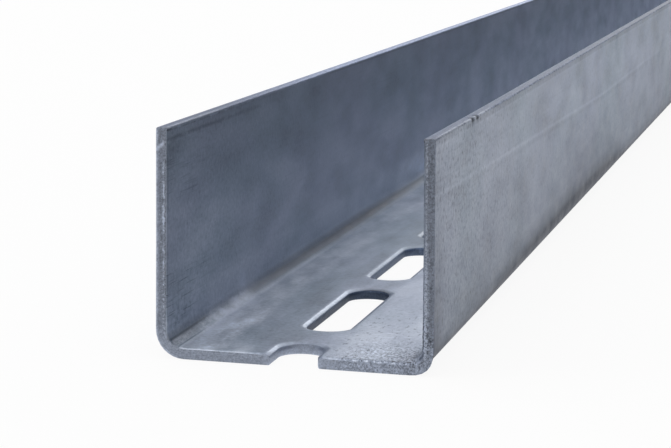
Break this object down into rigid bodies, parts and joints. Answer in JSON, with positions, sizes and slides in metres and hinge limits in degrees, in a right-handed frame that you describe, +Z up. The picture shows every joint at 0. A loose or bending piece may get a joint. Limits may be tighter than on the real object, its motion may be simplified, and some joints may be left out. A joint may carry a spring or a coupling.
{
  "type": "reinforced drywall stud",
  "caption": "Straight U channel stud of thick galvanised steel, with plain flanges and one row of long slots down the middle of its web.",
  "frame": {"origin": "centre of the web's outer face, which lies on the floor", "axes": "+Y along the stud, away from the end in the picture, +X across the web, +Z up along the flanges"},
  "size_m": [0.0488, 2.6, 0.04],
  "materials": {
    "galvanised_steel": "matte, bluish grey galvanised strip"
  },
  "bodies": {
    "root": {"stud_channel": "galvanised_steel"}
  },
  "joints": []
}
